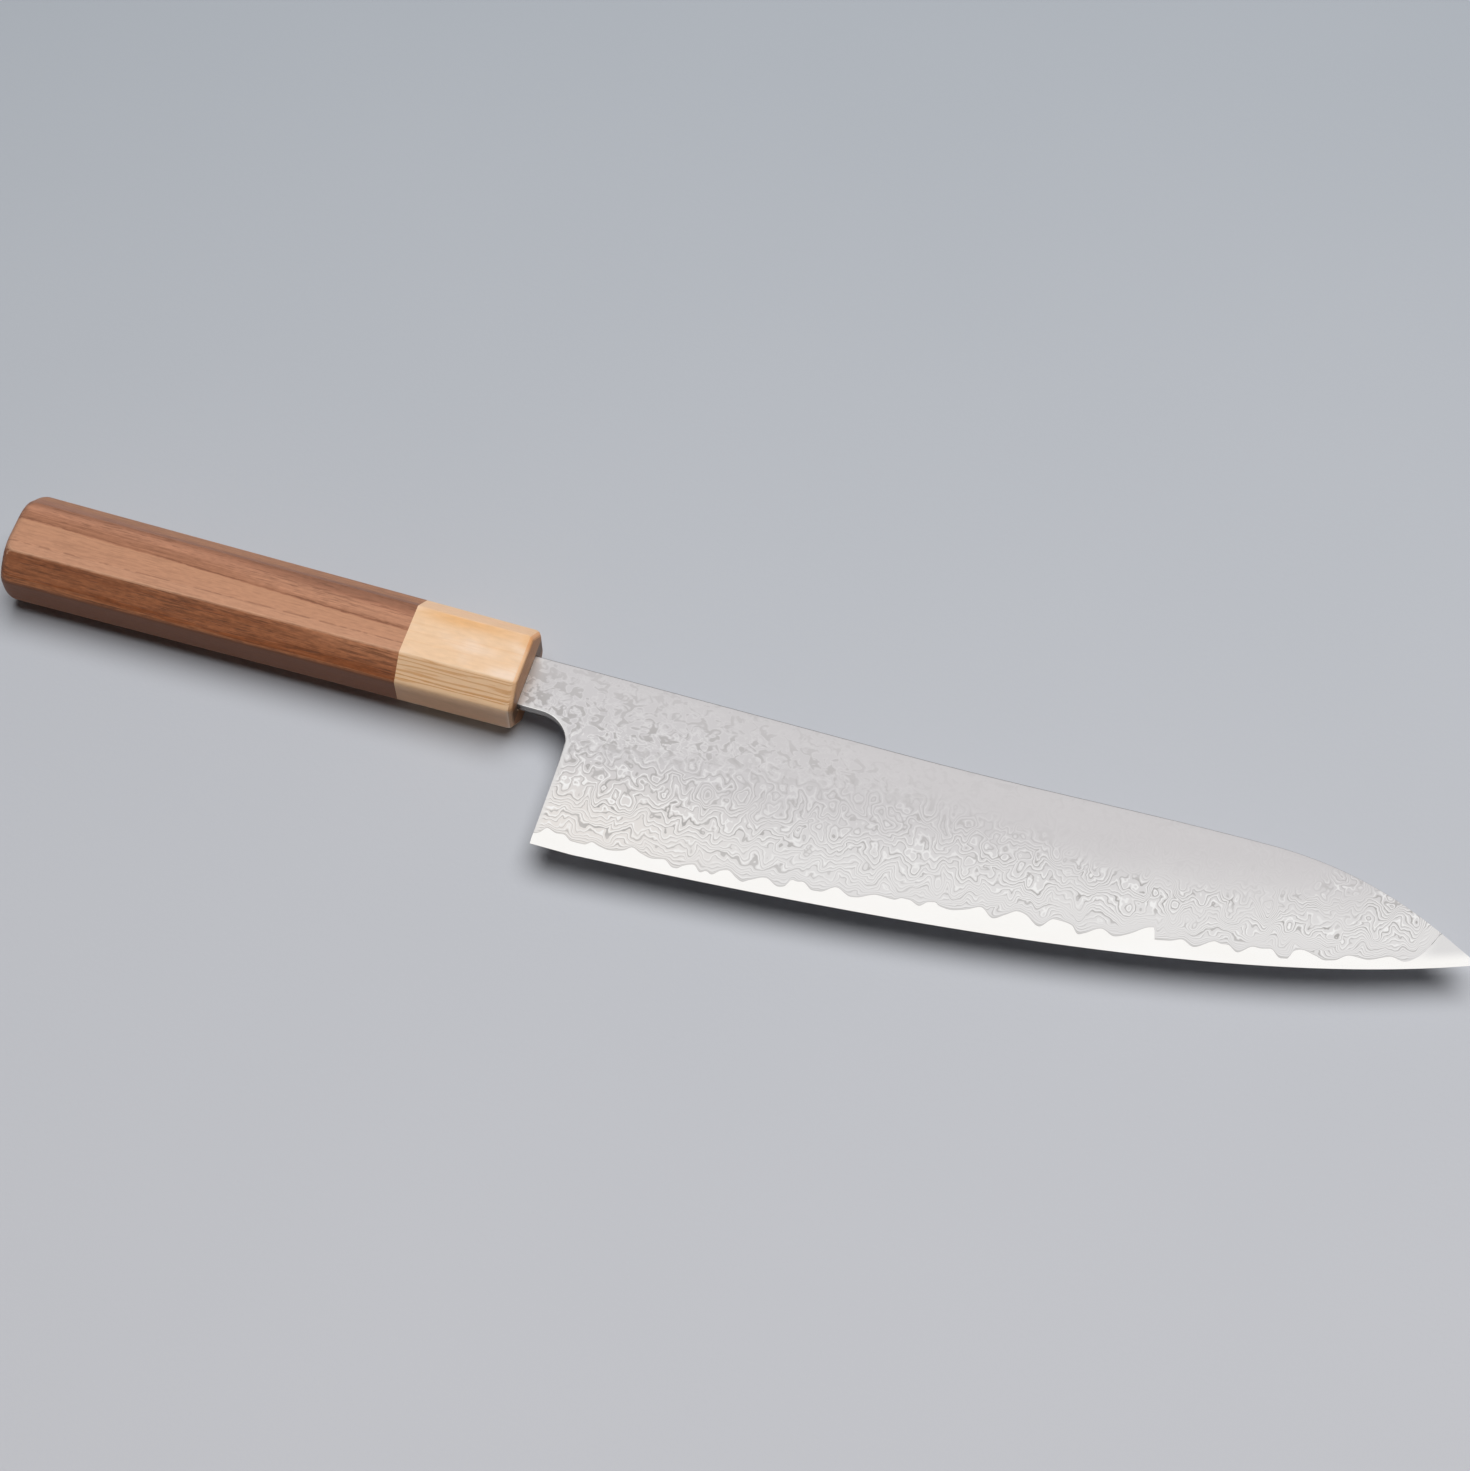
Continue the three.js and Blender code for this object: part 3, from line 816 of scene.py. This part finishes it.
def grain(spot, length, width, detail=2.0, rough=0.5):
    """Noise drawn out along the handle, sized in millimetres."""
    return noise(stretch(spot, (1 / length, 1 / width, 1 / width)), 1, detail, rough)


def mottle(sheet, length, height, detail, warp=0.0):
    """Noise on the blade's face, sized in millimetres along and across it."""
    return noise(stretch(sheet, (1 / length, 1 / height, 1)), 1, detail, 0.5, warp)


def chance(number):
    """A random value for each whole number."""
    return number.add("ShaderNodeTexWhiteNoise", {"noise_dimensions": "1D"}, {"W": number}, out="Value")


def shade(colour, amount):
    return vector_math("SCALE", colour, {"Scale": amount})


def band(value, middle, inner, outer):
    """One near the middle, fading to nothing on both sides."""
    return 1 - step_between(abs(value - middle), inner, outer)


def toned(value, low, high, stops):
    """Colours laid at millimetres between low and high."""
    shares = [((at - low) / (high - low), colour) for at, colour in stops]
    return value.add("ShaderNodeValToRGB", {"stops": shares}, {"Fac": (value - low) / (high - low)})


def walnut_finish():
    material, place = start_finish("oiled walnut")
    spot = handle_spot(place)
    x, y, z = split(spot)
    chamfer = attribute(place, "chamfer")
    worn_highlit = attribute(place, "worn_edge")
    end = attribute(place, "end_grain")
    low = HANDLE_WIDTH / MM / 2 - z
    sway = grain(spot, 55, 13) - 0.5
    thread = grain(spot, 30, 0.4) - 0.5
    run = y + x * 0.0276 * step_between(y, -12.4, -6.9) + sway * 1.6 + 0.43
    along_vein = place.add("ShaderNodeCombineXYZ", None, {"X": x, "Y": run, "Z": z})
    streak = grain(along_vein, 60, 1.3, 3, 0.6) - 0.5
    fibre = grain(along_vein, 13, 0.4, 2, 0.6) - 0.5
    fuzz = grain(spot, 1.8, 0.6, 2) - 0.5
    from_line = run + thread * 0.6 + fuzz * 0.7
    upper = step_between(from_line, -0.2, 1.4)
    flat_tone = from_line + upper * (streak * 6 + thread * 1.5 + fibre * 2.2)
    # The lowest stops, up to -10.4, paint the belly side dark brown: painted shade.
    flat_colour = toned(flat_tone, -16, 16, (
        (-16, (0.187, 0.061, 0.02)), (-10.4, (0.202, 0.066, 0.022)), (-8.6, (0.46, 0.232, 0.142)),
        (-6.0, (0.49, 0.252, 0.155)), (-0.4, (0.485, 0.249, 0.15)), (-0.05, (0.335, 0.15, 0.086)),
        (0.6, (0.335, 0.152, 0.088)), (1.8, (0.385, 0.18, 0.108)), (3.2, (0.45, 0.217, 0.134)),
        (4.6, (0.385, 0.178, 0.108)), (6.2, (0.31, 0.141, 0.085)), (8.0, (0.33, 0.155, 0.083)),
        (11.0, (0.36, 0.168, 0.088)), (16, (0.4, 0.19, 0.1)),
    ))
    from_seam = 4.5 - low + sway * 1.4 + thread * 0.4
    chamfer_tone = from_seam + streak * 4.2 + fibre * 1.6
    lighter = step_between(x, -38, -8) * step_between(from_seam, 0.9, 3.6)
    # The chamfer's darker tone is partly grain and partly painted shade.
    chamfer_colour = toned(chamfer_tone, -2, 5, (
        (-2, (0.3, 0.109, 0.045)), (-0.7, (0.37, 0.142, 0.062)), (-0.2, (0.225, 0.066, 0.021)),
        (0.15, (0.235, 0.072, 0.024)), (0.7, (0.33, 0.119, 0.051)), (2.2, (0.345, 0.127, 0.055)),
        (3.2, (0.275, 0.094, 0.039)), (4.0, (0.335, 0.127, 0.058)), (5, (0.42, 0.178, 0.09)),
    ))
    chamfer_colour = blend(lighter * 0.9, chamfer_colour, (0.47, 0.2, 0.1))
    chamfer_colour = shade(chamfer_colour, 0.94 + step_between(x, -75, -40) * 0.06)
    colour = blend(chamfer, flat_colour, chamfer_colour)
    front = step_between(x, -55, -22) * upper * (1 - chamfer)
    colour = blend(front * band(from_line, 1.6, 1.2, 2.8) * 0.8, colour, (0.47, 0.236, 0.145))
    top = (band(y, 7.0, 0.4, 1.5) * 0.6 + front * band(y, 5.8, 0.8, 2.4) * 0.6) * (1 - chamfer)
    colour = blend(top, colour, (0.235, 0.108, 0.066))
    dashes = step_between(grain(spot, 12, 1.5, 1), 0.36, 0.56)
    ticks = step_between(grain(spot, 2.4, 1.2, 1), 0.42, 0.56)
    vein = band(from_line, 0.08, 0.05, 0.24) * (0.2 + dashes * 0.45) * (1 - chamfer)
    colour = blend(vein, colour, (0.15, 0.062, 0.036))
    crowd = grain(spot, 40, 4, 1) - 0.5
    open_wood = upper * (1 - chamfer) * 0.7 + chamfer
    pore = step_between(grain(spot, 4.5, 0.3, 1) + crowd * 0.4, 0.54, 0.68) * (0.3 + open_wood * 0.7)
    from_edge = y + 4.1 + sway * 0.9 + thread * 0.3
    pore_line = band(from_edge, 0, 0.08, 0.28) * ticks * (1 - chamfer)
    polished = (1 - step_between(from_edge, -0.4, 0.2)) * step_between(y, -9, -7.5) * (1 - chamfer)
    fleck = step_between(grain(along_vein, 11, 0.6, 2) + crowd * 0.3, 0.52, 0.66) * chamfer
    colour = blend(polished * 0.35, colour, (0.56, 0.305, 0.195))
    colour = blend(pore * 0.5, colour, (0.12, 0.05, 0.03))
    colour = blend(pore_line * 0.45, colour, (0.19, 0.085, 0.05))
    colour = blend(fleck * 0.6, colour, (0.15, 0.053, 0.023))
    # Lightens the worn edges: wear with a painted highlight.
    colour = blend(worn_highlit * (0.3 + dashes * 0.2), colour, (0.6, 0.35, 0.225))
    grained = streak * (0.1 + open_wood * 0.5) + thread * (0.12 + open_wood * 0.3)
    rough_cut = fibre * (0.14 + open_wood * 0.4) + fuzz * (0.3 + open_wood * 0.2 + chamfer * 0.5)
    colour = shade(colour, 1.07 + grained + rough_cut)
    from_pith = place.math("SQRT", (y - 17) ** 2 + (z + 24) ** 2) + sway * 1.5
    ring = place.math("FRACT", from_pith / 2.1) ** 3
    speck = step_between(noise(stretch(spot, (0, 2.6, 2.6)), 1, 2), 0.6, 0.72)
    butt_face = step_between(end, 0.75, 0.98)
    end_colour = blend(ring * 0.75, (0.27, 0.118, 0.064), (0.105, 0.045, 0.026))
    end_colour = blend(speck * 0.7, end_colour, (0.06, 0.026, 0.015))
    colour = blend(butt_face, shade(colour, 1 - end * 0.4), end_colour)
    roughness = 0.5 + streak * 0.14 + butt_face * 0.12
    height = streak * 0.3 - pore * 0.6 - fleck * 0.3 - speck * butt_face * 0.5
    end_finish(place, colour, roughness, height, 0.05 * MM, WOOD_SHINE)
    return material


def pale_wood_finish():
    material, place = start_finish("pale ferrule wood")
    spot = handle_spot(place)
    x, y, z = split(spot)
    chamfer = attribute(place, "chamfer")
    end = attribute(place, "end_grain")
    worn_highlit = attribute(place, "worn_edge")
    sway = grain(spot, 26, 10) - 0.5
    fibre = grain(spot, 25, 0.5) - 0.5
    cloud = grain(spot, 15, 7, 2)
    fuzz = grain(spot, 2.5, 0.8, 2) - 0.5
    uneven = noise(stretch(spot, (1 / 34, 1 / 9, 1 / 1.5)), 1, 1.5) - 0.5
    low = HANDLE_WIDTH / MM / 2 - abs(z)
    line = low / 0.93 + sway * 1.2 + uneven * 3.4 + 0.05
    wave = place.math("PINGPONG", line, 0.5) * 2
    weight = chance(place.math("FLOOR", line + 20.5))
    growth = step_between(wave + fibre * 0.8 + fuzz * 0.7, 0.42, 0.85) * (0.35 + weight * 0.65)
    late = growth * chamfer
    streaks = step_between(grain(spot, 40, 0.8) + fibre * 0.2, 0.5, 0.72) * (1 - chamfer)
    mellow = band(x, 8, 2, 7)
    paler = step_between(cloud - mellow * 0.14, 0.32, 0.6)
    body = blend(paler, (0.86, 0.595, 0.385), (0.92, 0.71, 0.55))
    # The chamfer's brighter body is partly grain and partly painted light.
    body = blend(chamfer, body, (1.0, 0.665, 0.4))
    amber = step_between(y, 2.0, 5.4) * (1 - step_between(y, 5.9, 6.9)) * step_between(x, -5, 10)
    amber = amber * (1 - step_between(x, 15, 25) * 0.45) * (0.75 + cloud * 0.5)
    amber = amber + step_between(x, 25, 27.2) * step_between(y, 1, 4) * (1 - amber) * 0.6
    colour = blend(amber * 0.9, body, (0.80, 0.455, 0.205))
    colour = blend(streaks * 0.35, colour, (0.80, 0.49, 0.26))
    colour = blend(step_between(y, 6.0, 6.8) * 0.85, colour, (0.86, 0.55, 0.33))
    colour = blend(late, colour, (0.68, 0.31, 0.09))
    # The belly flat is painted darker towards the floor and lighter along its top: painted shade and
    # light.
    belly = 1 - step_between(y, -11.5, -11.15)
    belly_shade_and_light = blend(step_between(z, 0.8, 4.2), (0.68, 0.375, 0.205), (1.0, 0.62, 0.34))
    colour = blend(belly * 0.9, colour, belly_shade_and_light)
    # Lightens the worn edges: wear with a painted highlight.
    colour = blend(worn_highlit * 0.35, colour, (0.93, 0.71, 0.5))
    colour = shade(colour, 1 + fuzz * 0.2)
    rim = step_between(end, 0.1, 0.5)
    front = step_between(end, 0.8, 1.0)
    # Dark ring round the slot where the neck goes in: painted shade.
    slot_shade = front * (1 - step_between(abs(z), 1.5, 2.7))
    rim_colour = blend(step_between(y, 0, 4.5), (0.94, 0.56, 0.3), (0.8, 0.37, 0.15))
    rim_colour = blend(1 - step_between(y, -10.8, -9), rim_colour, (0.5, 0.25, 0.11))
    colour = blend(rim * (0.8 + fibre * 0.5), colour, rim_colour)
    # Dark end grain on the mouth's face, painted darker below the neck and on the lower half: painted
    # shade.
    front_grain_and_shade = blend(step_between(y, -8.0, -6.5), (0.34, 0.15, 0.065), (0.5, 0.225, 0.085))
    front_grain_and_shade = blend(step_between(z, -1.5, 1.0), (0.26, 0.115, 0.05), front_grain_and_shade)
    front_grain_and_shade = blend(growth * 0.5, front_grain_and_shade, (0.27, 0.105, 0.036))
    colour = blend(front, colour, front_grain_and_shade)
    colour = blend(slot_shade * 0.8, colour, (0.08, 0.045, 0.025))
    roughness = 0.46 + fibre * 0.12
    height = fibre * 0.4 + late * 0.4
    end_finish(place, colour, roughness, height, 0.03 * MM, WOOD_SHINE)
    return material


def cladding_finish():
    material, place = start_finish("wave patterned steel")
    above = attribute(place, "above_line")
    sheet = stretch(place, (1 / MM, 1 / MM, 0))
    x, y = split(sheet)[:2]
    from_heel = x - (MOUTH_X + NECK_LENGTH) / MM
    folds = mottle(sheet, 4.8, 10, 1.5) - 0.5
    kinks = abs(mottle(sheet, 6.5, 9, 1) - 0.5)
    curls = mottle(sheet, 5.4, 4.4, 1.5, 0.6) - 0.5
    fine = mottle(sheet, 1.7, 1.4, 1) - 0.5
    leave = step_between(above, -0.2, 2.0)
    swirl = step_between(above, 6, 18)
    start = 15 + step_between(from_heel, 0, 45) * 4
    calm = 1 - step_between(above, start, start + 12) * 0.62
    stacked = 15.5 * (1 - place.math("EXPONENT", above / -15))
    waves = folds * 7.5 + kinks * 8.5 + curls * (2 + swirl * 2.6) + fine * 0.6
    forward = step_between(from_heel, 60, 165)
    layer = (stacked + leave * calm * waves) * (1.12 + forward * 0.4) + 20.55
    number = place.math("FLOOR", layer)
    part = place.math("FRACT", layer)
    soft = 0.1 + step_between(above, 14, 34) * 0.22
    patch = step_between(mottle(sheet, 9, 6, 1), 0.4, 0.6)
    width = 0.12 + chance(number + 31.5) * 0.12 + step_between(chance(number), 0.6, 0.8) * patch * 0.4
    dark = step_between(part, 0.0, soft) * (1 - step_between(part, width, width + soft))
    dark = dark * (0.6 + chance(number + 71.5) * 0.4)
    light = band(part, width + soft + 0.2, 0.04, 0.16)
    neck = 1 - step_between(from_heel, -7, 1)
    spots = mottle(sheet, 2.7, 2.1, 1.5, 1.3) + neck * 0.04
    loose = step_between(above, start + 3, start + 14) * (1 - step_between(from_heel, 150, 175))
    dark = dark + (step_between(spots, 0.54, 0.61) - dark) * loose
    light = light + (band(spots, 0.48, 0.01, 0.05) - light) * loose
    to_tip = step_between(from_heel, 165, 186)
    # The pattern fades towards the spine, most in the blade's middle: partly its own fading, partly a
    # painted sheen.
    limit = 40 - step_between(from_heel, 15, 150) * 26 + to_tip * 14
    bare = step_between(mottle(sheet, 10, 5, 1), 0.46, 0.6)
    fade = 1 - step_between(above, limit * 0.75, limit * 1.2) * 0.9
    fade = fade * (1 - bare * (0.32 + step_between(from_heel, 80, 150) * 0.3 - neck * 0.3))
    round_x = place.math("MAXIMUM", from_heel + CHOIL_RADIUS / MM, 0)
    round_y = place.math("MAXIMUM", y - (AXIS_Y + NECK_BOTTOM - CHOIL_RADIUS) / MM, 0)
    from_choil = place.math("SQRT", round_x ** 2 + round_y ** 2) - CHOIL_RADIUS / MM
    margin = 1 - step_between(from_choil, 0.5, 1.3)
    fade = fade * (1 - margin * 0.85)
    near = 1 - step_between(above, 6, 28)
    glow = 1 - step_between(above, 4, 24)
    heel = 1 - step_between(from_heel, 10, 60)
    rim = (1 - step_between(above, 0.06, 0.32)) * (1 - step_between(from_heel, 190, 196))
    # Side faces get the painted dark reflection, fading out near the tip.
    side = attribute(place, "steel_side") * (1 - step_between(from_heel, 186, 193))
    edge = attribute(place, "bright_edge")
    # The neck is painted brighter next to the ferrule's mouth, against the ferrule's shade: painted
    # light.
    lit_near_mouth = 1 - step_between(from_heel + NECK_LENGTH / MM, 0, 5)
    lit = blend(heel, (0.775, 0.76, 0.755), (0.825, 0.788, 0.757))
    base = blend(glow, (0.645, 0.625, 0.632), lit)
    base = blend(margin * 0.5, base, (0.82, 0.81, 0.8))
    base = blend(lit_near_mouth * 0.9, base, (0.97, 0.97, 0.97))
    strong = heel * (1 - step_between(above, 22, 36))
    middle = band(above, 10, 3, 8)
    darker = 0.54 + strong * 0.33 + middle * 0.24 + forward * 0.22
    lighter = 0.2 + near * 0.28 + strong * 0.36 + middle * 0.1 + forward * 0.2
    base = blend(dark * fade * darker, base, (0.44, 0.425, 0.415))
    base = blend(light * fade * lighter, base, (0.96, 0.955, 0.945))
    base = blend(rim * 0.6, base, (0.47, 0.455, 0.435))
    # White line on the rounded rims: painted highlight.
    base = blend(edge, base, (0.97, 0.97, 0.96))
    base = blend(side, base, SIDE_DARK_REFLECTION)
    roughness = 0.38 + dark * 0.06
    end_finish(place, base, roughness, light * 0.5 - dark * 0.5, 0.004 * MM, METAL)
    return material


def core_finish():
    material, place = start_finish("polished core steel")
    above = attribute(place, "above_edge")
    x = split(place)[0]
    tip = MOUTH_X + TIP_X
    scratch = noise(stretch(place, (60, 5200, 5200)), 1, 2)
    cloud = noise(stretch(place, (60, 160, 160)), 1, 2)
    bright = blend(cloud, (0.95, 0.93, 0.90), (0.99, 0.98, 0.965))
    ground = step_between(x, tip - 16 * MM, tip - 9 * MM) * step_between(above, 1.2, 4.5)
    colour = blend(ground * 0.85, bright, (0.70, 0.69, 0.69))
    # Side faces get the painted dark reflection, fading out near the tip.
    side = attribute(place, "steel_side") * (1 - step_between(x, tip - 24 * MM, tip - 17 * MM))
    colour = blend(side, colour, SIDE_DARK_REFLECTION)
    roughness = 0.2 + scratch * 0.1
    end_finish(place, colour, roughness, scratch, 0.001 * MM, METAL)
    return material


def dowel_finish():
    material, place = start_finish("plain dowel wood")
    fibre = noise(stretch(place, (20, 700, 700)), 1, 3)
    colour = blend(fibre, (0.42, 0.27, 0.13), (0.66, 0.47, 0.27))
    end_finish(place, colour, 0.6 + fibre * 0.2, fibre, 0.05 * MM)
    return material


def glue_finish():
    material, place = start_finish("cured glue")
    cloud = noise(place, 300, 3)
    colour = blend(cloud, (0.62, 0.5, 0.3), (0.76, 0.66, 0.44))
    end_finish(place, colour, 0.25 + cloud * 0.2, cloud, 0.05 * MM)
    return material


def floor_finish():
    material, place = start_finish("grey paper")
    x, y = split(place)[:2]
    # The floor is painted darker towards the back and the left: painted light falloff.
    rise = step_between(y - x * 0.28, -0.27, 0.37)
    patches = noise(place, 9, 2)
    colour = blend(rise + (patches - 0.5) * 0.1, (0.618, 0.622, 0.656), (0.408, 0.44, 0.482))
    end_finish(place, colour, 0.75 + patches * 0.1, noise(place, 900, 2), 0.02 * MM)
    return material


# Stage
def make_stage():
    deselect()
    bpy.ops.mesh.primitive_plane_add(size=FLOOR_SIZE, location=(0, 0, 0))
    floor = named("floor")
    floor.data.materials.append(floor_finish())


def soft_lamp(name, toward, distance, radius, radiance):
    direction = Vector(toward).normalized()
    deselect()
    bpy.ops.object.light_add(
        type="AREA", location=direction * distance, rotation=direction.to_track_quat("Z", "Y").to_euler()
    )
    lamp = named(name)
    lamp.data.shape = "DISK"
    lamp.data.size = 2 * radius
    lamp.data.energy = radiance * math.pi * math.pi * radius ** 2
    return lamp


def make_light():
    key = soft_lamp("key_softbox", LAMP_DIRECTION, LAMP_DISTANCE, LAMP_RADIUS, LAMP_RADIANCE)
    key.visible_glossy = False
    world = bpy.data.worlds.new("studio")
    bpy.context.scene.world = world
    world.use_nodes = True
    world.node_tree.nodes.clear()
    desk = Wire(world.node_tree)
    camera_ray = desk.add("ShaderNodeLightPath", out="Is Camera Ray")
    path = camera_ray.socket.node.outputs
    glossy_ray = Wire(desk.tree, path["Is Glossy Ray"])
    clear_ray = Wire(desk.tree, path["Is Transmission Ray"])
    shown = camera_ray.math("MINIMUM", camera_ray + glossy_ray + clear_ray, 1)
    height = split(desk.add("ShaderNodeTexCoord", out="Generated"))[2]
    pale = ROOM_LOW + step_between(height, *ROOM_HEIGHTS) * ROOM_RISE
    strength = ROOM_FILL * (1 - shown) + pale * shown
    back = desk.add("ShaderNodeBackground", None, {"Color": (1, 1, 1, 1), "Strength": strength})
    desk.add("ShaderNodeOutputWorld", None, {"Surface": back})


def make_camera():
    deselect()
    bpy.ops.object.camera_add()
    camera = bpy.context.active_object
    camera.name = "camera"
    camera.data.sensor_width = SENSOR
    camera.data.lens = SENSOR * FOCAL_PIXELS / IMAGE_HEIGHT
    turn = Euler((math.pi / 2 - CAMERA_ELEVATION, 0, CAMERA_AZIMUTH)).to_matrix()
    turn = turn @ Matrix.Rotation(-CAMERA_ROLL, 3, "Z")
    camera.matrix_world = Matrix.Translation(CAMERA_PLACE) @ turn.to_4x4()
    bpy.context.scene.camera = camera


bpy.context.scene.view_settings.view_transform = "Standard"
make_camera()
make_light()
make_stage()
cladding = cladding_finish()
make_core(core_finish())
make_cladding("upper_cladding", "right_cladding", 1, cladding)
make_cladding("lower_cladding", "left_cladding", -1, cladding)
make_ferrule(pale_wood_finish())
make_grip(walnut_finish())
for hidden_node, hidden_finish in (("dowel", dowel_finish()), ("tang_glue", glue_finish())):
    hidden_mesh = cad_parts[hidden_node].data
    hidden_mesh.materials.clear()
    hidden_mesh.materials.append(hidden_finish)
